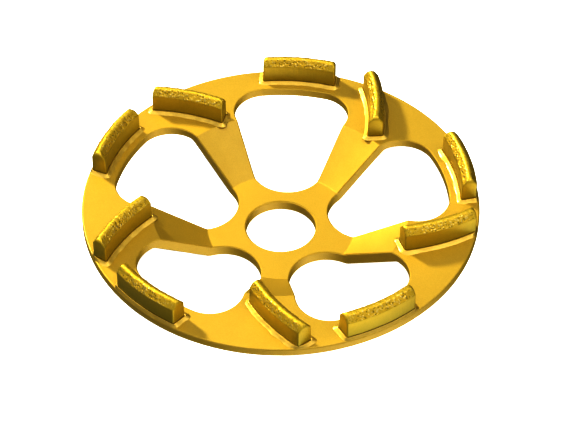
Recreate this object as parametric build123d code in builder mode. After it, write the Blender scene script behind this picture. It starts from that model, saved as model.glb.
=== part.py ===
from build123d import *

import os
from math import asin, atan2, cos, degrees, hypot, tan

# Diamond cup wheel for an angle grinder: a pressed steel disc with five windows and ten brazed segments.
# All sizes are in millimetres. The origin is the centre of the bore on the hub's back face, the face that
# seats on the grinder's flange and that the wheel rests on. +Z runs along the bore towards the segments,
# and one window is centred on +Y.

# Steel disc, pressed to a dish, with the rim's front face turned flat for the segments
disc_diameter = 125.0
bore_diameter = 22.23
hub_thickness = 3.8
spoke_thickness = 3.8
rim_thickness = 3.0
dish_depth = 11.0
hub_flat_diameter = 46.8
rim_width = 21.8
hub_bend_radius = 1.0
rim_bend_radius = 0.6
back_bend_radius = 3.0
rim_edge_radius = 0.5
rim_back_chamfer = 0.5
bore_chamfer = 0.4

# Windows, each a round nose towards the hub, two straight sides and an arc along the rim
window_count = 5
window_nose_radius = 11.9
window_bore_land = 4.6
window_rim_land = 9.2
window_half_angle = 24.6
window_corner_radius = 10.4
window_edge_chamfer = 0.3

# Diamond segments, all alike: an arc in plan with square ends and rounded tops, and in section two walls
# with a little draft under a gabled roof. The peak's height is given before it is rounded.
segment_length = 23.8
segment_foot_width = 4.9
segment_shoulder_width = 4.6
segment_shoulder_height = 6.4
segment_peak_height = 9.0
segment_curve_radius = 59.2
segment_ridge_radius = 0.6
segment_shoulder_radius = 0.6
segment_corner_chamfer = 0.4
segment_end_radius = 1.3

# One segment lies along the rim beside each window, and one slants across it at each spoke's end. The
# insets run from the disc's edge to the middle of the segment.
rim_segment_inset = 3.3
rim_segment_lag = 1.5
slant_segment_inset = 10.6
slant_segment_lead = 3.5
slant_segment_turn = 39.4

# Braze: a film under each segment and a sloping bead round its foot
braze_film = 0.1
braze_bead_width = 1.2
braze_bead_height = 1.1
braze_lip = 0.15

# Levels and bends of the disc's section, worked out from the sizes above
disc_radius = disc_diameter / 2
bore_radius = bore_diameter / 2
hub_bend = hub_flat_diameter / 2
rim_bend = disc_radius - rim_width
rim_front = hub_thickness + dish_depth
rim_back = rim_front - rim_thickness
slope = atan2(dish_depth, rim_bend - hub_bend)
spoke_drop = spoke_thickness / cos(slope)
back_hub_bend = hub_bend + (spoke_drop - hub_thickness) / tan(slope)
back_rim_bend = rim_bend + (spoke_drop - rim_thickness) / tan(slope)

# Places of the windows' outlines, and of the segments' walls and tops
window_step = 360 / window_count
window_nose_offset = bore_radius + window_bore_land + window_nose_radius
window_outer_radius = disc_radius - window_rim_land
bulge_radius = segment_curve_radius + segment_foot_width / 2
hollow_radius = segment_curve_radius - segment_foot_width / 2
roof_slope = atan2(segment_peak_height - segment_shoulder_height, segment_shoulder_width / 2)
segment_top = segment_peak_height - segment_ridge_radius * (1 / cos(roof_slope) - 1)


def corner(sketch: BuildSketch, x: float, y: float) -> Vertex:
    """The sketch's corner at a point of its own plane."""
    return sketch.vertices().sort_by_distance((x, y, 0))[0]


def seat_plane(radius: float, azimuth: float, heading: float) -> Plane:
    """Where a segment stands on the rim: x runs along it, and y points to its hollow side."""
    place = Vector(radius, 0, rim_front).rotate(Axis.Z, azimuth)
    return Plane(origin=place, x_dir=Vector(1, 0, 0).rotate(Axis.Z, heading), z_dir=(0, 0, 1))


def cut_edge_side(edge: Edge) -> bool:
    """Whether an edge of a window runs round its opening, rather than down its wall."""
    start, end = edge @ 0, edge @ 1
    return hypot(end.X - start.X, end.Y - start.Y) > window_edge_chamfer


# A window's outline: a round nose, two straight sides and the arc along the rim
with BuildSketch() as window:
    with BuildLine():
        nose = CenterArc(
            (0, window_nose_offset),
            window_nose_radius,
            180 + window_half_angle,
            180 - 2 * window_half_angle,
        )
        left_side = PolarLine(nose @ 0, disc_radius, 90 + window_half_angle)
        right_side = PolarLine(nose @ 1, disc_radius, 90 - window_half_angle)
        Line(left_side @ 1, right_side @ 1)
    make_face()
    Circle(window_outer_radius, mode=Mode.INTERSECT)
    fillet(window.vertices().group_by(Axis.Y)[-1], window_corner_radius)

# The steel disc: a turned section, opened by the windows
with BuildPart() as steel_disc:
    with BuildSketch(Plane.XZ) as section:
        with BuildLine():
            Polyline(
                (bore_radius, 0),
                (back_hub_bend, 0),
                (back_rim_bend, rim_back),
                (disc_radius, rim_back),
                (disc_radius, rim_front),
                (rim_bend, rim_front),
                (hub_bend, hub_thickness),
                (bore_radius, hub_thickness),
                close=True,
            )
        make_face()
        fillet(corner(section, hub_bend, hub_thickness), hub_bend_radius)
        fillet(corner(section, rim_bend, rim_front), rim_bend_radius)
        fillet(corner(section, back_hub_bend, 0), back_bend_radius)
        fillet(corner(section, back_rim_bend, rim_back), back_bend_radius)
        fillet(corner(section, disc_radius, rim_front), rim_edge_radius)
        chamfer(corner(section, disc_radius, rim_back), rim_back_chamfer)
        chamfer(corner(section, bore_radius, 0), bore_chamfer)
        chamfer(corner(section, bore_radius, hub_thickness), bore_chamfer)
    revolve(axis=Axis.Z)
    with BuildSketch() as windows:
        with PolarLocations(0, window_count):
            add(window.sketch)
    extrude(amount=rim_front, mode=Mode.SUBTRACT)
    chamfer(steel_disc.edges(Select.LAST).filter_by(cut_edge_side), window_edge_chamfer)
steel_disc.part.label = "steel_disc"

# A segment's foot: an arc-shaped bar with square ends and cut corners, hollow towards +Y
with BuildSketch() as foot:
    with BuildLine():
        bulge_turn = degrees(asin(segment_length / 2 / bulge_radius))
        hollow_turn = degrees(asin(segment_length / 2 / hollow_radius))
        bulge = CenterArc((0, segment_curve_radius), bulge_radius, 270 - bulge_turn, 2 * bulge_turn)
        hollow = CenterArc((0, segment_curve_radius), hollow_radius, 270 - hollow_turn, 2 * hollow_turn)
        Line(bulge @ 0, hollow @ 0)
        Line(bulge @ 1, hollow @ 1)
    make_face()
    chamfer(foot.vertices(), segment_corner_chamfer)


def make_segment(seat: Plane, label: str) -> Part:
    """A diamond segment on its braze film: its foot raised, under a roof and between rounded ends."""
    side_view = Plane(origin=seat.origin, x_dir=seat.x_dir, z_dir=-seat.y_dir)
    end_view = Plane(origin=seat.origin, x_dir=seat.y_dir, z_dir=seat.x_dir)
    curve_axis = Axis(seat.from_local_coords((0, segment_curve_radius, 0)), (0, 0, 1))
    with BuildPart() as segment:
        with BuildSketch(seat.offset(braze_film)):
            add(foot.sketch)
        extrude(amount=segment_peak_height)
        with BuildSketch(end_view) as roof:
            with BuildLine():
                Polyline(
                    (-segment_foot_width / 2, 0),
                    (segment_foot_width / 2, 0),
                    (segment_shoulder_width / 2, segment_shoulder_height),
                    (0, segment_peak_height),
                    (-segment_shoulder_width / 2, segment_shoulder_height),
                    close=True,
                )
            make_face()
            fillet(corner(roof, segment_shoulder_width / 2, segment_shoulder_height), segment_shoulder_radius)
            fillet(corner(roof, -segment_shoulder_width / 2, segment_shoulder_height), segment_shoulder_radius)
            fillet(corner(roof, 0, segment_peak_height), segment_ridge_radius)
        revolve(axis=curve_axis, mode=Mode.INTERSECT)
        with BuildSketch(side_view) as ends:
            Rectangle(segment_length, segment_top, align=(Align.CENTER, Align.MIN))
            fillet(ends.vertices().group_by(Axis.Y)[-1], segment_end_radius)
        extrude(amount=segment_length / 2, both=True, mode=Mode.INTERSECT)
    segment.part.label = label
    return segment.part


def make_braze(seat: Plane, segment: Part, label: str) -> Part:
    """The braze under and round one segment: a thin film with a sloping bead up the segment's wall."""
    with BuildPart() as braze:
        with BuildSketch(seat):
            add(foot.sketch)
            offset(amount=braze_bead_width, kind=Kind.INTERSECTION)
        extrude(amount=braze_bead_height)
        rim_of_bead = braze.faces().sort_by(Axis.Z)[-1].edges()
        chamfer(rim_of_bead, braze_bead_height - braze_film, braze_bead_width - braze_lip)
        add(segment, mode=Mode.SUBTRACT)
        with BuildSketch(Plane.XY.offset(rim_front)):
            Circle(disc_radius - rim_edge_radius)
            Circle(rim_bend + rim_bend_radius * tan(slope / 2), mode=Mode.SUBTRACT)
        extrude(amount=segment_shoulder_height, mode=Mode.INTERSECT)
    braze.part.label = label
    return braze.part


def seat_pieces(seat: Plane, kind: str, number: int) -> list[Part]:
    """A segment and its braze on one seat."""
    segment = make_segment(seat, f"{kind}_segment_{number}")
    return [segment, make_braze(seat, segment, f"{kind}_braze_{number}")]


pieces = [steel_disc.part]
for index in range(window_count):
    azimuth = 90 - rim_segment_lag - index * window_step
    rim_seat = seat_plane(disc_radius - rim_segment_inset, azimuth, azimuth + 90)
    pieces += seat_pieces(rim_seat, "rim", index + 1)

    azimuth = 90 - window_step / 2 + slant_segment_lead - index * window_step
    slant_seat = seat_plane(disc_radius - slant_segment_inset, azimuth, azimuth + slant_segment_turn)
    pieces += seat_pieces(slant_seat, "slant", index + 1)

os.makedirs("parts", exist_ok=True)
for piece in pieces:
    export_step(piece, f"parts/{piece.label}.step")
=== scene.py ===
"""The looks of a diamond cup wheel: gold paint, ten gritty segments and their braze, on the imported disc."""

import logging
from dataclasses import dataclass, field
from enum import Enum
from math import atan2, cos, hypot, radians, sin, sqrt, tan
from typing import ClassVar

import bmesh
import bpy
from mathutils import Matrix, Vector, noise

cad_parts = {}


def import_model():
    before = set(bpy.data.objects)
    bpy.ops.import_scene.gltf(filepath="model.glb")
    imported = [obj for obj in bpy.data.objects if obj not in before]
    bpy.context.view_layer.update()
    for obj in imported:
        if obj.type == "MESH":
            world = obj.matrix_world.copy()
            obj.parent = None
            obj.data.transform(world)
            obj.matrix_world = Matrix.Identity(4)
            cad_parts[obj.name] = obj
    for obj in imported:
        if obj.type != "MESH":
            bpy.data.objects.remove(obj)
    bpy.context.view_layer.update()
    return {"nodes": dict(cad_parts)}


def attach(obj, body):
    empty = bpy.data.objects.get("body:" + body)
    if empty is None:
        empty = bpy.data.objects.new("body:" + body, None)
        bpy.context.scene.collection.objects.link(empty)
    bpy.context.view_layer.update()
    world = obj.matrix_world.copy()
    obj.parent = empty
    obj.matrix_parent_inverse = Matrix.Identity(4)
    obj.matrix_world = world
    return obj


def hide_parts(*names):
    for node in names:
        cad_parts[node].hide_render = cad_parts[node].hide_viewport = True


log = logging.getLogger("cup_wheel")

Colour = tuple[float, float, float, float]
Socket = bpy.types.NodeSocket

# Lengths are in metres and angles in degrees. The camera's lens is worked out for the photo's width in
# pixels, on a sensor as wide as the usual one in millimetres.
MM = 0.001
BODY = "root"
PHOTO_WIDTH = 567
SENSOR_WIDTH = 36.0


class Slot(Enum):
    """The record's material slots."""

    DISC = "disc_gold"
    SEGMENT = "segment_gold"
    BRAZE = "braze_gold"


class SeatKind(Enum):
    """How a segment stands on the rim."""

    RIM = "rim"
    SLANT = "slant"


@dataclass(frozen=True)
class WheelSizes:
    """The disc's sizes that its segments and braze depend on, in metres."""

    disc_radius: float = 62.5 * MM
    rim_front: float = 14.8 * MM
    rim_edge_radius: float = 0.5 * MM
    window_count: int = 5


@dataclass(frozen=True)
class Seat:
    """A segment's place on the rim: x runs along it, and y points to its hollow side."""

    kind: SeatKind
    number: int
    radius: float
    azimuth: float
    heading: float

    def label(self, part: str) -> str:
        """The name of a part that stands on this seat."""
        return f"{self.kind.value}_{part}_{self.number}"

    def seed(self, stride: float, shifts: dict[SeatKind, float], depth: float) -> Vector:
        """An offset into the noise that no other seat has.

        Args:
            stride: How far apart the seats of a kind are.
            shifts: How far each kind is moved aside.
            depth: How deep they all are.

        Returns:
            The offset.
        """
        return Vector((stride * self.number, shifts[self.kind], depth))

    def matrix(self, wheel: WheelSizes) -> Matrix:
        """The seat's place in the wheel's frame.

        Args:
            wheel: The wheel's sizes.

        Returns:
            The matrix that takes the seat's own coordinates to the wheel's.
        """
        turn = Matrix.Rotation(radians(self.azimuth), 4, "Z")
        place = turn @ Vector((self.radius, 0.0, wheel.rim_front))
        return Matrix.Translation(place) @ Matrix.Rotation(radians(self.heading), 4, "Z")


@dataclass(frozen=True)
class Layout:
    """Where the ten seats are: one beside each window and one at each spoke's end."""

    wheel: WheelSizes
    rim_radius: float = 59.2 * MM
    rim_lag: float = 1.5
    slant_radius: float = 51.9 * MM
    slant_lead: float = 3.5
    slant_turn: float = 39.4

    def seats(self) -> list[Seat]:
        """All the seats, in order round the wheel.

        Returns:
            A rim seat and a slanted seat for each window.
        """
        step = 360 / self.wheel.window_count
        found = []
        for index in range(self.wheel.window_count):
            azimuth = 90 - self.rim_lag - index * step
            found.append(Seat(SeatKind.RIM, index + 1, self.rim_radius, azimuth, azimuth + 90))
            azimuth = 90 - step / 2 + self.slant_lead - index * step
            heading = azimuth + self.slant_turn
            found.append(Seat(SeatKind.SLANT, index + 1, self.slant_radius, azimuth, heading))
        return found


class NodeTree:
    """Short calls for adding and joining shader nodes."""

    def __init__(self, tree: bpy.types.NodeTree) -> None:
        """Starts from an empty tree."""
        self.tree = tree
        tree.nodes.clear()

    def add(self, kind: str, **values: object) -> bpy.types.Node:
        """Adds a node.

        Args:
            kind: The node's type.
            **values: Its properties, and its inputs by name with spaces as underscores.

        Returns:
            The new node.
        """
        node = self.tree.nodes.new(kind)
        for key, value in values.items():
            if hasattr(node, key):
                setattr(node, key, value)
            else:
                self.put(node.inputs[key.replace("_", " ")], value)
        return node

    def put(self, socket: Socket, value: object) -> None:
        """Links an output to an input, or sets the input's value.

        Args:
            socket: The input.
            value: A node's output, or a plain value.
        """
        if isinstance(value, Socket):
            self.tree.links.new(value, socket)
        else:
            socket.default_value = value

    def noise(self, where: Socket, size: float, detail: float = 2.0) -> Socket:
        """A noise pattern.

        Args:
            where: The coordinates.
            size: The width of its blotches in metres.
            detail: How many finer layers it has.

        Returns:
            Its value, from 0 to 1.
        """
        node = self.add("ShaderNodeTexNoise", Vector=where, Scale=1 / size, Detail=detail)
        return node.outputs["Fac"]

    def spread(self, value: Socket, low: float, high: float, to_low: float, to_high: float) -> Socket:
        """A value taken from one range to another, and held there.

        Args:
            value: The value.
            low: The start of its own range.
            high: The end of its own range.
            to_low: What the start becomes.
            to_high: What the end becomes.

        Returns:
            The new value.
        """
        node = self.add("ShaderNodeMapRange", Value=value)
        ends = (low, high, to_low, to_high)
        for name, end in zip(("From Min", "From Max", "To Min", "To Max"), ends, strict=True):
            node.inputs[name].default_value = end
        return node.outputs["Result"]

    def mix(self, share: object, first: object, second: object) -> Socket:
        """Two colours mixed.

        Args:
            share: The second colour's share.
            first: The first colour.
            second: The second colour.

        Returns:
            The colour between them.
        """
        node = self.add("ShaderNodeMix", data_type="RGBA")
        for index, value in ((0, share), (6, first), (7, second)):
            self.put(node.inputs[index], value)
        return node.outputs[2]

    def maths(self, operation: str, first: object, second: object) -> Socket:
        """Two numbers put together.

        Args:
            operation: What is done with them.
            first: The first number.
            second: The second number.

        Returns:
            The result.
        """
        node = self.add("ShaderNodeMath", operation=operation)
        self.put(node.inputs[0], first)
        self.put(node.inputs[1], second)
        return node.outputs[0]

    def bump(self, height: Socket, depth: float, under: object = None) -> Socket:
        """A bumpy normal.

        Args:
            height: The pattern of heights, from 0 to 1.
            depth: How high a 1 is, in metres.
            under: A normal that this one is added to, if any.

        Returns:
            The normal.
        """
        node = self.add("ShaderNodeBump", Height=height, Distance=depth, Strength=1.0)
        if under is not None:
            self.put(node.inputs["Normal"], under)
        return node.outputs["Normal"]


@dataclass(frozen=True)
class GoldPaint:
    """Satin gold paint over metal."""

    name: str
    colour: Colour = (0.82, 0.625, 0.115, 1.0)
    deep: Colour = (0.745, 0.56, 0.09, 1.0)
    metallic: float = 0.95
    roughness: float = 0.7
    coat: float = 0.5
    coat_roughness: float = 0.28
    grain: float = 0.35 * MM
    grain_depth: float = 0.012 * MM
    mottle: float = 9.0 * MM
    mottle_range: tuple[float, float] = (0.35, 0.7)
    mottle_share: float = 0.22
    speck_range: tuple[float, float] = (0.3, 0.75)
    speck_share: float = 0.55
    wear_range: tuple[float, float] = (0.3, 0.7)
    polish: float = 0.015
    dullness: float = 0.02

    def start(self) -> tuple[bpy.types.Material, NodeTree, Socket]:
        """An empty material with object coordinates.

        Returns:
            The material, its tree and the coordinates.
        """
        material = bpy.data.materials.new(self.name)
        material.use_nodes = True
        tree = NodeTree(material.node_tree)
        return material, tree, tree.add("ShaderNodeTexCoord").outputs["Object"]

    def close(self, tree: NodeTree, colour: Socket, roughness: Socket, normal: Socket) -> None:
        """Joins the patterns to the shader, and the shader to the output.

        Args:
            tree: The material's tree.
            colour: The base colour.
            roughness: The roughness.
            normal: The bumpy normal.
        """
        shader = tree.add(
            "ShaderNodeBsdfPrincipled",
            Metallic=self.metallic,
            Coat_Weight=self.coat,
            Coat_Roughness=self.coat_roughness,
        )
        tree.put(shader.inputs["Base Color"], colour)
        tree.put(shader.inputs["Roughness"], roughness)
        tree.put(shader.inputs["Normal"], normal)
        output = tree.add("ShaderNodeOutputMaterial")
        tree.put(output.inputs["Surface"], shader.outputs[0])

    def tone(self, tree: NodeTree, where: Socket) -> Socket:
        """The paint's colour.

        Args:
            tree: The material's tree.
            where: The coordinates.

        Returns:
            The colour, deeper in soft blotches and in a fine grain.
        """
        blotch = tree.noise(where, self.mottle, detail=3.0)
        blotch = tree.spread(blotch, *self.mottle_range, 0.0, self.mottle_share)
        speck = tree.noise(where, self.grain, detail=1.0)
        speck = tree.spread(speck, *self.speck_range, 0.0, self.speck_share)
        return tree.mix(tree.maths("ADD", blotch, speck), self.colour, self.deep)

    def material(self) -> bpy.types.Material:
        """The finished material.

        Returns:
            Paint with soft blotches, fine grain and an even bump.
        """
        made, tree, where = self.start()
        fine = tree.noise(where, self.grain, detail=2.0)
        wear = tree.noise(where, self.mottle / 3, detail=3.0)
        smooth, rough = self.roughness - self.polish, self.roughness + self.dullness
        roughness = tree.spread(wear, *self.wear_range, smooth, rough)
        self.close(tree, self.tone(tree, where), roughness, tree.bump(fine, self.grain_depth))
        return made


@dataclass(frozen=True)
class SinteredGold(GoldPaint):
    """Gold paint over a pressed metal bar with diamond grit in its top, with painted shade on its walls and
    painted light and glints on its top.
    """

    # Painted shade: the walls are darkened towards the foot, up to a wavering height
    shade_start: float = 15.7 * MM
    shade_end: float = 21.0 * MM
    shade_share: float = 0.5
    waver_size: float = 3.0 * MM
    waver_height: float = 1.6 * MM
    # The colour of the painted shade at the walls' foot
    painted_foot_shade: Colour = (0.30, 0.28, 0.02, 1.0)
    # Painted light: a brighter colour that lightens the gritty top as if lit from above
    roof: Colour = (1.0, 0.72, 0.09, 1.0)
    # Painted glint: a pale colour on the tops of the grit's grains
    painted_glint: Colour = (1.0, 0.83, 0.36, 1.0)
    # The colour of the painted shade in the grit's pits and in the crease above the braze
    crease_and_pit_shade: Colour = (0.16, 0.11, 0.01, 1.0)
    bead_top: float = 15.5 * MM
    # Painted shade: a dark line in the crease where the wall meets the braze
    crease_shade_height: float = 0.55 * MM
    crease_shade_share: float = 0.65
    # How much of the painted top light is laid over the grit
    top_light_share: float = 0.75
    # Where the painted shade of the pits falls, and how strong it is
    pit_shade_range: tuple[float, float] = (0.1, 0.46)
    pit_shade_share: float = 0.7
    # Where the painted glints fall on the grains, and how strong they are
    glint_range: tuple[float, float] = (0.56, 0.8)
    glint_share: float = 0.9
    shine_range: tuple[float, float] = (0.54, 0.74)
    shine_roughness: float = 0.32
    streak_width: float = 0.7 * MM
    streak_stretch: float = 10.0
    streak_depth: float = 0.05 * MM

    def wall_colour(self, tree: NodeTree, where: Socket) -> Socket:
        """The colour of the bar's walls.

        Args:
            tree: The material's tree.
            where: The coordinates.

        Returns:
            The paint's colour, with painted shade darkening it towards the foot and a painted shadow line in
            the crease above the braze.
        """
        height = tree.add("ShaderNodeSeparateXYZ", Vector=where).outputs["Z"]
        waver = tree.maths("MULTIPLY", tree.noise(where, self.waver_size), self.waver_height)
        level = tree.maths("ADD", height, waver)
        # Painted shade, strongest at the foot and gone by the shade's end
        low = tree.spread(level, self.shade_start, self.shade_end, self.shade_share, 0.0)
        colour = tree.mix(low, self.tone(tree, where), self.painted_foot_shade)
        # Painted shadow line in the crease just above the braze
        crease_shade = tree.spread(height, self.bead_top, self.bead_top + self.crease_shade_height, self.crease_shade_share, 0.0)
        return tree.mix(crease_shade, colour, self.crease_and_pit_shade)

    def top_colour(self, tree: NodeTree, walls: Socket, grit: Socket, grain: Socket) -> Socket:
        """The colour of the whole bar.

        Args:
            tree: The material's tree.
            walls: The colour of its walls.
            grit: Where the grit stands, from 0 to 1.
            grain: The grit's own height, from 0 in a pit to 1 on a grain.

        Returns:
            The walls' colour, with painted shade in the pits and painted glints on the grains, on a top
            lightened by painted light.
        """
        # Painted light: the top is lightened where the grit stands
        colour = tree.mix(tree.maths("MULTIPLY", grit, self.top_light_share), walls, self.roof)
        # Painted shade in the grit's pits
        pit_shades = tree.maths("MULTIPLY", tree.spread(grain, *self.pit_shade_range, self.pit_shade_share, 0.0), grit)
        colour = tree.mix(pit_shades, colour, self.crease_and_pit_shade)
        # Painted glints on the grains' tops
        glints = tree.maths("MULTIPLY", tree.spread(grain, *self.glint_range, 0.0, self.glint_share), grit)
        return tree.mix(glints, colour, self.painted_glint)

    def material(self) -> bpy.types.Material:
        """The finished material.

        Returns:
            Paint with painted shade towards the foot, and with painted glints on the grains and painted shade
            in the pits where the grit stands.
        """
        made, tree, where = self.start()
        grit = tree.add("ShaderNodeAttribute", attribute_name="grit").outputs["Fac"]
        grain = tree.add("ShaderNodeAttribute", attribute_name="grain").outputs["Fac"]
        colour = self.top_colour(tree, self.wall_colour(tree, where), grit, grain)
        fine = tree.noise(where, self.grain, detail=3.0)
        upright = tree.add("ShaderNodeMapping", Vector=where, Scale=(1.0, 1.0, 1 / self.streak_stretch))
        streaks = tree.noise(upright.outputs["Vector"], self.streak_width)
        normal = tree.bump(streaks, self.streak_depth, tree.bump(fine, self.grain_depth))
        shine = tree.maths("MULTIPLY", tree.spread(grain, *self.shine_range, 0.0, 1.0), grit)
        roughness = tree.spread(shine, 0.0, 1.0, self.roughness, self.shine_roughness)
        self.close(tree, colour, roughness, normal)
        return made


@dataclass
class SteelDisc:
    """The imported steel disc, which keeps its shape and gets its paint."""

    node: str = "steel_disc"
    paint: GoldPaint = GoldPaint("disc_paint")

    def dress(self, nodes: dict[str, bpy.types.Object]) -> bpy.types.Object:
        """Puts the paint on the disc.

        Args:
            nodes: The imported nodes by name.

        Returns:
            The disc.
        """
        disc = nodes[self.node]
        disc.data.materials.clear()
        disc.data.materials.append(self.paint.material())
        return disc


def make_piece(
    bm: bmesh.types.BMesh, name: str, finish: bpy.types.Material, node: str
) -> bpy.types.Object:
    """Makes an object from a mesh and gives it its place in the frame.

    Args:
        bm: The mesh, in the wheel's frame. It is freed.
        name: The piece's name.
        finish: Its material.
        node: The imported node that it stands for.

    Returns:
        The new object.
    """
    mesh = bpy.data.meshes.new(name)
    bm.to_mesh(mesh)
    bm.free()
    mesh.materials.append(finish)
    for polygon in mesh.polygons:
        polygon.use_smooth = True
    piece = bpy.data.objects.new(name, mesh)
    bpy.context.scene.collection.objects.link(piece)
    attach(piece, BODY)
    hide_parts(node)
    return piece


def round_corner(before: Vector, corner: Vector, after: Vector, radius: float, steps: int) -> list[Vector]:
    """The points of an arc that rounds a corner between two straight runs.

    Args:
        before: A point on the run into the corner.
        corner: The corner.
        after: A point on the run out of it.
        radius: The arc's radius.
        steps: The number of its chords.

    Returns:
        The arc's points, from the first run to the second.
    """
    back = (before - corner).normalized()
    ahead = (after - corner).normalized()
    half = back.angle(ahead) / 2
    reach = radius / tan(half)
    centre = corner + (back + ahead).normalized() * (radius / sin(half))
    start = corner + back * reach - centre
    end = corner + ahead * reach - centre
    sweep = start.angle_signed(end)
    return [centre + Matrix.Rotation(-sweep * i / steps, 2) @ start for i in range(steps + 1)]


def fill_runs(points: list[Vector], step: float) -> list[Vector]:
    """Cuts the long runs of a chain of points into lengths of about a step.

    Args:
        points: The chain's points.
        step: The length.

    Returns:
        The same points with the new ones between them.
    """
    filled = [points[0]]
    for start, end in zip(points, points[1:]):
        count = max(1, round((end - start).length / step))
        filled += [start.lerp(end, i / count) for i in range(1, count + 1)]
    return filled


def ramp(value: float, start: float, width: float) -> float:
    """How far a value has come through a range, from 0 to 1."""
    return min(1.0, max(0.0, (value - start) / width))


@dataclass
class DiamondSegment:
    """A sintered bar with a gabled, gritty top, bent to an arc."""

    seat: Seat
    wheel: WheelSizes
    length: float = 23.8 * MM
    foot_width: float = 4.9 * MM
    shoulder_width: float = 4.6 * MM
    shoulder_height: float = 6.4 * MM
    peak_height: float = 9.37 * MM
    curve_radius: float = 59.2 * MM
    ridge_radius: float = 1.2 * MM
    shoulder_radius: float = 0.6 * MM
    end_radius: float = 1.3 * MM
    corner_radius: float = 0.4 * MM
    film: float = 0.1 * MM
    wall_step: float = 0.32 * MM
    roof_step: float = 0.15 * MM
    station_step: float = 0.17 * MM
    shoulder_steps: int = 5
    ridge_steps: int = 9
    corner_steps: int = 4
    middle_gap: float = 0.02 * MM
    end_radii: float = 4.0
    grain_size: float = 0.52 * MM
    grain_height: float = 0.18 * MM
    grain_reach: float = 0.62
    grain_chance: float = 0.12
    least_grain: float = 0.35
    pit_depth: float = 0.15 * MM
    pit_chance: float = -0.45
    chance_scale: float = 7.31
    ground_scale: float = 2.7
    ground_share: float = 0.4
    lump_size: float = 1.5 * MM
    lump_height: float = 0.14 * MM
    wave_size: float = 2.4 * MM
    wave_height: float = 0.02 * MM
    grit_depth: float = 0.5 * MM
    roof_tilt: float = 0.25
    roof_fade: float = 0.3
    ridge_tilt: float = 0.8
    ridge_fade: float = 0.15
    ridge_share: float = 0.55
    end_fade: float = 3.5 * MM
    end_share: float = 0.3
    patch_size: float = 5 * MM
    patch_share: float = 0.25
    seed_stride: float = 17.3
    seed_depth: float = 2.9

    # How far each kind of seat is moved aside in the grit's noise
    SEED_SHIFTS: ClassVar[dict[SeatKind, float]] = {SeatKind.RIM: 5.1, SeatKind.SLANT: 41.7}

    @property
    def node(self) -> str:
        """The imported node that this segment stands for."""
        return self.seat.label("segment")

    def roof_slope(self) -> float:
        """The angle of the roof's two sides above the level."""
        return atan2(self.peak_height - self.shoulder_height, self.shoulder_width / 2)

    def top(self) -> float:
        """The height of the rounded ridge."""
        return self.peak_height - self.ridge_radius * (1 / cos(self.roof_slope()) - 1)

    def half_section(self) -> list[Vector]:
        """Half of the end view, from the foot to the ridge.

        Returns:
            Points as half width and height.
        """
        foot = Vector((self.foot_width / 2, self.film))
        shoulder = Vector((self.shoulder_width / 2, self.shoulder_height))
        peak = Vector((0.0, self.peak_height))
        far_shoulder = Vector((-shoulder.x, shoulder.y))
        turn = round_corner(foot, shoulder, peak, self.shoulder_radius, self.shoulder_steps)
        ridge = round_corner(shoulder, peak, far_shoulder, self.ridge_radius, self.ridge_steps)
        wall = fill_runs([foot, turn[0]], self.wall_step)
        roof = fill_runs([turn[-1], ridge[0]], self.roof_step)
        return wall[:-1] + turn[:-1] + roof + [point for point in ridge[1:] if point.x > self.middle_gap]

    def stations(self) -> list[float]:
        """The places along the bar where it has a section.

        Returns:
            Distances from its middle, closer together at its rounded ends.
        """
        turns = [radians(90 * i / self.corner_steps) for i in range(self.corner_steps)]
        near = [self.corner_radius * (1 - cos(turn)) for turn in turns]
        run = self.length - 2 * self.corner_radius
        count = round(run / self.station_step)
        inner = [self.corner_radius + run * i / count for i in range(count + 1)]
        far = [self.length - place for place in reversed(near)]
        return [place - self.length / 2 for place in near + inner + far]

    def sweep(self) -> bmesh.types.BMesh:
        """The straight bar, its sections a unit apart.

        Returns:
            A closed mesh with x as the section's number, y across and z up.
        """
        section = self.half_section()
        bm = bmesh.new()
        upright = Matrix.Rotation(radians(90), 4, "Y") @ Matrix.Rotation(radians(90), 4, "Z")
        grid = bmesh.ops.create_grid(bm, x_segments=1, y_segments=len(section) - 1, size=1.0, matrix=upright)
        rows = sorted(grid["verts"], key=lambda v: v.co.z)
        for index, (half_width, height) in enumerate(section):
            for vert in rows[2 * index : 2 * index + 2]:
                vert.co = (0.0, half_width if vert.co.y > 0 else -half_width, height)
        steps = len(self.stations()) - 1
        bmesh.ops.spin(
            bm,
            geom=bm.verts[:] + bm.edges[:] + bm.faces[:],
            axis=(1, 0, 0),
            dvec=(1, 0, 0),
            angle=0,
            steps=steps,
        )
        bmesh.ops.recalc_face_normals(bm, faces=bm.faces[:])
        return bm

    def shape(self, bm: bmesh.types.BMesh) -> None:
        """Gives the bar its length, its rounded ends and its curve.

        Args:
            bm: The straight bar, its sections a unit apart.
        """
        stations = self.stations()
        top = self.top()
        half = self.length / 2
        end_reach = self.end_radii * self.end_radius
        for vert in bm.verts:
            x, across, height = stations[round(vert.co.x)], vert.co.y, vert.co.z
            past = max(0.0, abs(x) - (half - self.corner_radius))
            inset = self.corner_radius - sqrt(max(0.0, self.corner_radius**2 - past**2))
            across -= min(abs(across), inset) * (1 if across > 0 else -1)
            height -= inset * min(1.0, height / self.shoulder_height)
            over = max(0.0, height - (top - self.end_radius))
            cut = self.end_radius - sqrt(max(0.0, self.end_radius**2 - over**2))
            near_end = max(0.0, (abs(x) - half + end_reach) / end_reach)
            x -= cut * near_end * (1 if x > 0 else -1)
            radius = self.curve_radius - across
            vert.co = (x, self.curve_radius - sqrt(radius**2 - x**2), height)

    def grain_at(self, place: Vector) -> float:
        """How far the grit stands out of the top at a place.

        Args:
            place: A point in grain widths.

        Returns:
            From -1 at the bottom of a pit to 1 at the top of a grain.
        """
        distances, points = noise.voronoi(place)
        chance = noise.cell(points[0] * self.chance_scale)
        dome = max(0.0, 1 - (distances[0] / self.grain_reach) ** 2)
        if chance > self.grain_chance:
            return dome * min(1.0, self.least_grain + chance)
        if chance < self.pit_chance:
            return -dome
        return self.ground_share * noise.noise(place * self.ground_scale)

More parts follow.
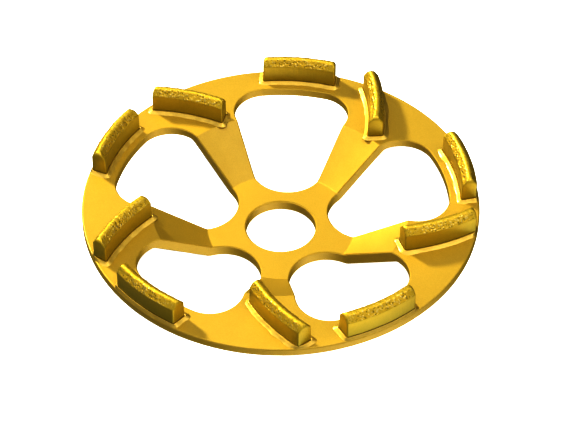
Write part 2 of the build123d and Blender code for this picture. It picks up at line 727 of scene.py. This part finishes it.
    def grit_at(self, vert: bmesh.types.BMVert, seed: Vector) -> float:
        """How much grit there is at a point: none on the walls, and less on the ridge and at the ends.

        Args:
            vert: The point.
            seed: The offset of this segment's noise.

        Returns:
            A share from 0 to 1.
        """
        if vert.co.z <= self.shoulder_height - self.grit_depth:
            return 0.0
        on_roof = ramp(vert.normal.z, self.roof_tilt, self.roof_fade)
        on_ridge = ramp(vert.normal.z, self.ridge_tilt, self.ridge_fade)
        inside = ramp(self.length / 2 - abs(vert.co.x), 0.0, self.end_fade)
        patch = 1 - self.patch_share + self.patch_share * noise.noise(vert.co / self.patch_size + seed)
        by_ridge = 1 - self.ridge_share * on_ridge
        by_end = self.end_share + (1 - self.end_share) * inside
        return on_roof * by_ridge * by_end * patch

    def roughen(self, bm: bmesh.types.BMesh) -> None:
        """Raises the grit on the roof, and leaves the walls nearly smooth.

        Args:
            bm: The bar in its own shape.
        """
        bm.normal_update()
        grit_layer = bm.verts.layers.float.new("grit")
        grain_layer = bm.verts.layers.float.new("grain")
        seed = self.seat.seed(self.seed_stride, self.SEED_SHIFTS, self.seed_depth)
        moves = []
        for vert in bm.verts:
            grit = self.grit_at(vert, seed)
            grain = self.grain_at(vert.co / self.grain_size + seed)
            wave = noise.noise(vert.co / self.wave_size + seed)
            lump = noise.noise(vert.co / self.lump_size - seed)
            rise = self.grain_height if grain > 0 else self.pit_depth
            raised = grit * (grain * rise + lump * self.lump_height) + self.wave_height * wave
            moves.append(vert.normal * raised)
            vert[grit_layer] = grit
            vert[grain_layer] = 0.5 + 0.5 * grain
        for vert, move in zip(bm.verts, moves, strict=True):
            vert.co += move

    def build(self, finish: bpy.types.Material) -> bpy.types.Object:
        """Makes the segment.

        Args:
            finish: Its material.

        Returns:
            The segment as a piece.
        """
        bm = self.sweep()
        self.shape(bm)
        self.roughen(bm)
        bm.transform(self.seat.matrix(self.wheel))
        return make_piece(bm, self.seat.label("bar"), finish, self.node)


@dataclass
class BrazeBead:
    """The bead of braze round a segment's foot."""

    seat: Seat
    wheel: WheelSizes
    segment: DiamondSegment
    width: float = 1.55 * MM
    height: float = 0.82 * MM
    crest: float = 0.4 * MM
    groove: float = 0.12 * MM
    hollow: float = 0.3
    tuck: float = 0.3 * MM
    sink: float = 0.03 * MM
    corner_radius: float = 0.5 * MM
    crest_rings: int = 3
    rings: int = 9
    runs: int = 84
    cross_runs: int = 12
    corner_cut: float = 0.9
    corner_steps: int = 4
    run_size: float = 2.8 * MM
    run_spread: float = 0.22
    run_rise: float = 0.16
    ripple_size: float = 0.9 * MM
    ripple_height: float = 0.03 * MM
    edge_start: float = 0.35 * MM
    edge_gap: float = 0.12 * MM
    seed_stride: float = 7.7

    # How far each kind of seat is moved aside in the bead's noise
    SEED_SHIFTS: ClassVar[dict[SeatKind, float]] = {SeatKind.RIM: 3.3, SeatKind.SLANT: 23.9}

    @property
    def node(self) -> str:
        """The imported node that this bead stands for."""
        return self.seat.label("braze")

    def footprint(self) -> bmesh.types.BMesh:
        """The segment's outline as a flat patch with rounded corners.

        Returns:
            A mesh with x along the segment and y from its bulging to its hollow side.
        """
        bm = bmesh.new()
        bmesh.ops.create_grid(bm, x_segments=self.runs, y_segments=self.cross_runs, size=1.0)
        for vert in bm.verts:
            vert.co.x *= self.segment.length / 2
            vert.co.y *= self.segment.foot_width / 2
        bmesh.ops.bevel(
            bm,
            geom=[vert for vert in bm.verts if len(vert.link_edges) == 2],
            affect="VERTICES",
            offset=self.corner_cut * self.segment.foot_width / self.cross_runs,
            offset_type="OFFSET",
            segments=self.corner_steps,
            profile=0.5,
            material=-1,
        )
        return bm

    def from_core(self, place: Vector) -> tuple[Vector, Vector]:
        """Where a point lies from the footprint's core, which is its outline less the corner radius.

        Args:
            place: A point of the footprint's plane.

        Returns:
            The core's nearest point, and the direction from there to the place.
        """
        along = self.segment.length / 2 - self.corner_radius
        across = self.segment.foot_width / 2 - self.corner_radius
        nearest = Vector((max(-along, min(along, place.x)), max(-across, min(across, place.y)), 0.0))
        return nearest, (Vector((place.x, place.y, 0.0)) - nearest).normalized()

    def profile(self) -> list[tuple[float, float]]:
        """The bead's section: a groove against the wall, a narrow crest and a slope down to the rim.

        Returns:
            Distances out from the wall, each with its height.
        """
        shares = [ring / self.crest_rings for ring in range(self.crest_rings)]
        rise = [(self.crest * share, self.height - self.groove * (1 - share) ** 2) for share in shares]
        fall = []
        for ring in range(self.rings + 1):
            share = ring / self.rings
            drop = self.height * (1 - (1 - self.hollow) * share - self.hollow * sin(radians(90 * share)))
            fall.append((self.crest + (self.width - self.crest) * share, drop))
        return [(-self.tuck, self.height - self.groove)] + rise + fall

    def flow(self, bm: bmesh.types.BMesh) -> None:
        """Grows the bead outwards and down from the segment's wall, ring by ring, and closes its underside.

        Args:
            bm: The footprint.
        """
        for vert in bm.verts:
            vert.co.z = self.height - self.groove
        for index, (out, up) in enumerate(self.profile()):
            border = [edge for edge in bm.edges if edge.is_boundary]
            if index == 0:
                ring = {vert for edge in border for vert in edge.verts}
            else:
                grown = bmesh.ops.extrude_edge_only(bm, edges=border)
                ring = [part for part in grown["geom"] if isinstance(part, bmesh.types.BMVert)]
            for vert in ring:
                nearest, way = self.from_core(vert.co)
                vert.co = nearest + way * (self.corner_radius + out)
                vert.co.z = up
        border = [edge for edge in bm.edges if edge.is_boundary]
        bmesh.ops.edgeloop_fill(bm, edges=border)
        bmesh.ops.recalc_face_normals(bm, faces=bm.faces[:])

    def ragged(self, vert: bmesh.types.BMVert, seed: Vector) -> tuple[float, float, float]:
        """Where the braze ran to at a point of the even bead.

        Args:
            vert: The point.
            seed: The offset of this bead's noise.

        Returns:
            The point along, across and up.
        """
        nearest, way = self.from_core(vert.co)
        out = (vert.co.xy - nearest.xy).length - self.corner_radius
        if out <= 0:
            return tuple(vert.co)
        run = noise.noise(vert.co.xy.to_3d() / self.run_size + seed)
        ripple = noise.noise(vert.co.xy.to_3d() / self.ripple_size - seed)
        grown = nearest + way * (self.corner_radius + out * (1 + self.run_spread * run))
        share = 4 * out / self.width * max(0.0, 1 - out / self.width)
        height = vert.co.z * (1 + self.run_rise * run) + self.ripple_height * ripple * share
        return grown.x, grown.y, height

    def settle(self, bm: bmesh.types.BMesh) -> None:
        """Lets the bead run unevenly, bends it to the segment's curve and stops it at the rim's edge.

        Args:
            bm: The even bead, along a straight segment.
        """
        place = self.seat.matrix(self.wheel)
        curve = self.segment.curve_radius
        seed = self.seat.seed(self.seed_stride, self.SEED_SHIFTS, 0.0)
        edge_radius = self.wheel.rim_edge_radius
        flat = self.wheel.disc_radius - edge_radius
        start = flat - self.edge_start
        last = self.wheel.disc_radius - self.edge_gap
        for vert, (x, across, height) in [(vert, self.ragged(vert, seed)) for vert in bm.verts]:
            radius = curve - across
            vert.co = place @ Vector((x, curve - sqrt(radius**2 - x**2), height - self.sink))
            far = hypot(vert.co.x, vert.co.y)
            if far > start:
                squeezed = min(last, start + (far - start) * (last - start) / self.width)
                past = max(0.0, squeezed - flat)
                vert.co.x *= squeezed / far
                vert.co.y *= squeezed / far
                vert.co.z -= edge_radius - sqrt(edge_radius**2 - past**2)

    def build(self, finish: bpy.types.Material) -> bpy.types.Object:
        """Makes the bead.

        Args:
            finish: Its material.

        Returns:
            The bead as a piece.
        """
        bm = self.footprint()
        self.flow(bm)
        self.settle(bm)
        return make_piece(bm, self.seat.label("bead"), finish, self.node)


@dataclass(frozen=True)
class SoftBox:
    """A square studio lamp that points at the wheel."""

    name: str
    azimuth: float
    elevation: float
    distance: float
    size: float
    power: float

    def place(self, turn: float) -> bpy.types.Object:
        """Sets the lamp up.

        Args:
            turn: The camera's turn about the wheel, in degrees, which the lamps follow.

        Returns:
            The lamp.
        """
        lamp = bpy.data.lights.new(self.name, "AREA")
        lamp.size = self.size
        lamp.energy = self.power
        stand = bpy.data.objects.new(self.name, lamp)
        bpy.context.scene.collection.objects.link(stand)
        heading, rise = radians(self.azimuth + turn), radians(self.elevation)
        way = Vector((cos(heading) * cos(rise), sin(heading) * cos(rise), sin(rise)))
        stand.location = way * self.distance
        stand.rotation_mode = "QUATERNION"
        stand.rotation_quaternion = way.to_track_quat("Z", "Y")
        return stand


@dataclass(frozen=True)
class Glow:
    """A soft bright patch of the room's walls, ceiling or ground."""

    azimuth: float
    elevation: float
    strength: float
    tightness: float = 6.0

    def light(self, tree: NodeTree, where: Socket, turn: float) -> Socket:
        """The patch's brightness in each direction.

        Args:
            tree: The world's nodes.
            where: The direction.
            turn: The camera's turn about the wheel, in degrees.

        Returns:
            A brightness that fades away from the patch's middle.
        """
        heading, rise = radians(self.azimuth + turn), radians(self.elevation)
        middle = (cos(heading) * cos(rise), sin(heading) * cos(rise), sin(rise))
        facing = tree.add("ShaderNodeVectorMath", operation="DOT_PRODUCT")
        tree.put(facing.inputs[0], where)
        tree.put(facing.inputs[1], middle)
        ahead = tree.maths("MAXIMUM", facing.outputs["Value"], 0.0)
        return tree.maths("MULTIPLY", tree.maths("POWER", ahead, self.tightness), self.strength)


@dataclass
class Studio:
    """The floor, the lamps, the surroundings and the camera, which all turn about the wheel together."""

    turn: float = 4.94
    elevation: float = 44.715
    distance: float = 0.68655
    roll: float = -0.344
    right_offset: float = 0.00085
    up_offset: float = 0.00427
    aim_height: float = 3.8 * MM
    focal_pixels: float = 2156.9
    nearest: float = 0.01
    farthest: float = 20.0
    floor_size: float = 6.0
    floor_colour: Colour = (0.9, 0.9, 0.9, 1.0)
    floor_roughness: float = 0.9
    floor_light: Colour = (1.0, 1.0, 1.0, 1.0)
    floor_glow: float = 0.95
    room_glow: float = 0.02
    contrast: float = 1.8
    lamps: tuple[SoftBox, ...] = (SoftBox("key", 137.0, 35.0, 2.5, 0.25, 51.0),)
    glows: tuple[Glow, ...] = (
        Glow(335.0, 60.0, 3.6, 16.0),
        Glow(0.0, 60.0, 0.48, 16.0),
        Glow(90.0, 60.0, 1.1, 16.0),
        Glow(225.0, 60.0, 2.15, 16.0),
        Glow(0.0, 90.0, 1.0),
        Glow(315.0, 10.0, 1.27),
        Glow(225.0, 10.0, 0.95),
        Glow(180.0, -45.0, 0.5, 16.0),
        Glow(280.0, -45.0, 2.83, 16.0),
        Glow(320.0, -45.0, 1.9, 16.0),
        Glow(340.0, -45.0, 1.71, 16.0),
    )

    def camera(self) -> bpy.types.Object:
        """Sets up the camera where the photo was taken from.

        Returns:
            The camera.
        """
        rise, tilt = radians(self.elevation), radians(self.roll)
        turn = Matrix.Rotation(radians(self.turn), 3, "Z")
        ahead = turn @ Vector((0, cos(rise), -sin(rise)))
        level = turn @ Vector((1, 0, 0))
        upward = level.cross(ahead)
        right = cos(tilt) * level + sin(tilt) * upward
        up = cos(tilt) * upward - sin(tilt) * level
        lens = bpy.data.cameras.new("camera")
        lens.sensor_width = SENSOR_WIDTH
        lens.lens = self.focal_pixels * SENSOR_WIDTH / PHOTO_WIDTH
        lens.clip_start, lens.clip_end = self.nearest, self.farthest
        camera = bpy.data.objects.new("camera", lens)
        bpy.context.scene.collection.objects.link(camera)
        place = right * self.right_offset + up * self.up_offset - ahead * self.distance
        place.z += self.aim_height
        axes = Matrix((right, up, -ahead)).transposed().to_4x4()
        camera.matrix_world = Matrix.Translation(place) @ axes
        bpy.context.scene.camera = camera
        return camera

    def floor(self) -> bpy.types.Object:
        """Lays the pale floor.

        Returns:
            The floor.
        """
        bm = bmesh.new()
        bmesh.ops.create_grid(bm, x_segments=1, y_segments=1, size=self.floor_size)
        mesh = bpy.data.meshes.new("floor")
        bm.to_mesh(mesh)
        bm.free()
        floor = bpy.data.objects.new("floor", mesh)
        bpy.context.scene.collection.objects.link(floor)
        material = bpy.data.materials.new("pale_floor")
        material.use_nodes = True
        tree = NodeTree(material.node_tree)
        shader = tree.add(
            "ShaderNodeBsdfPrincipled", Roughness=self.floor_roughness, Emission_Strength=self.floor_glow
        )
        shader.inputs["Base Color"].default_value = self.floor_colour
        shader.inputs["Emission Color"].default_value = self.floor_light
        output = tree.add("ShaderNodeOutputMaterial")
        tree.put(output.inputs["Surface"], shader.outputs[0])
        mesh.materials.append(material)
        floor.visible_glossy = False
        floor.visible_diffuse = False
        return floor

    def surroundings(self) -> bpy.types.World:
        """Sets a soft pale room with brighter patches.

        Returns:
            The world.
        """
        world = bpy.data.worlds.new("room")
        world.use_nodes = True
        tree = NodeTree(world.node_tree)
        where = tree.add("ShaderNodeTexCoord").outputs["Generated"]
        strength = tree.maths("ADD", self.glows[0].light(tree, where, self.turn), self.room_glow)
        for glow in self.glows[1:]:
            strength = tree.maths("ADD", strength, glow.light(tree, where, self.turn))
        shader = tree.add("ShaderNodeBackground", Strength=strength)
        output = tree.add("ShaderNodeOutputWorld")
        tree.put(output.inputs["Surface"], shader.outputs[0])
        bpy.context.scene.world = world
        return world

    def build(self) -> None:
        """Sets up everything round the wheel."""
        self.camera()
        self.floor()
        self.surroundings()
        for lamp in self.lamps:
            lamp.place(self.turn)
        view = bpy.context.scene.view_settings
        view.view_transform = "Standard"
        view.gamma = 1 / self.contrast


@dataclass
class CupWheel:
    """The whole wheel: the disc, its segments and their braze."""

    sizes: WheelSizes = WheelSizes()
    disc: SteelDisc = field(default_factory=SteelDisc)
    segment_paint: SinteredGold = SinteredGold(
        "segment_paint",
        colour=(0.77, 0.60, 0.07, 1.0),
        deep=(0.69, 0.54, 0.05, 1.0),
        metallic=0.9,
        roughness=0.6,
        coat=0.35,
    )
    braze_paint: GoldPaint = GoldPaint(
        "braze_paint",
        colour=(0.87, 0.655, 0.15, 1.0),
        deep=(0.79, 0.59, 0.12, 1.0),
        roughness=0.55,
        coat=0.7,
        grain=0.6 * MM,
        grain_depth=0.03 * MM,
    )

    def build(self, nodes: dict[str, bpy.types.Object]) -> None:
        """Dresses the disc and makes the segments and beads.

        Args:
            nodes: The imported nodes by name.
        """
        report(self.disc.dress(nodes))
        sintered = self.segment_paint.material()
        brazed = self.braze_paint.material()
        for seat in Layout(self.sizes).seats():
            segment = DiamondSegment(seat, self.sizes)
            report(segment.build(sintered))
            report(BrazeBead(seat, self.sizes, segment).build(brazed))


def report(piece: bpy.types.Object) -> None:
    """Logs a piece's name and its number of faces."""
    log.info("%s: %d faces", piece.name, len(piece.data.polygons))


def main() -> None:
    """Builds the studio and the wheel."""
    logging.basicConfig(level=logging.INFO, format="%(message)s")
    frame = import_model()
    Studio().build()
    CupWheel().build(frame["nodes"])


if __name__ == "__main__":
    main()
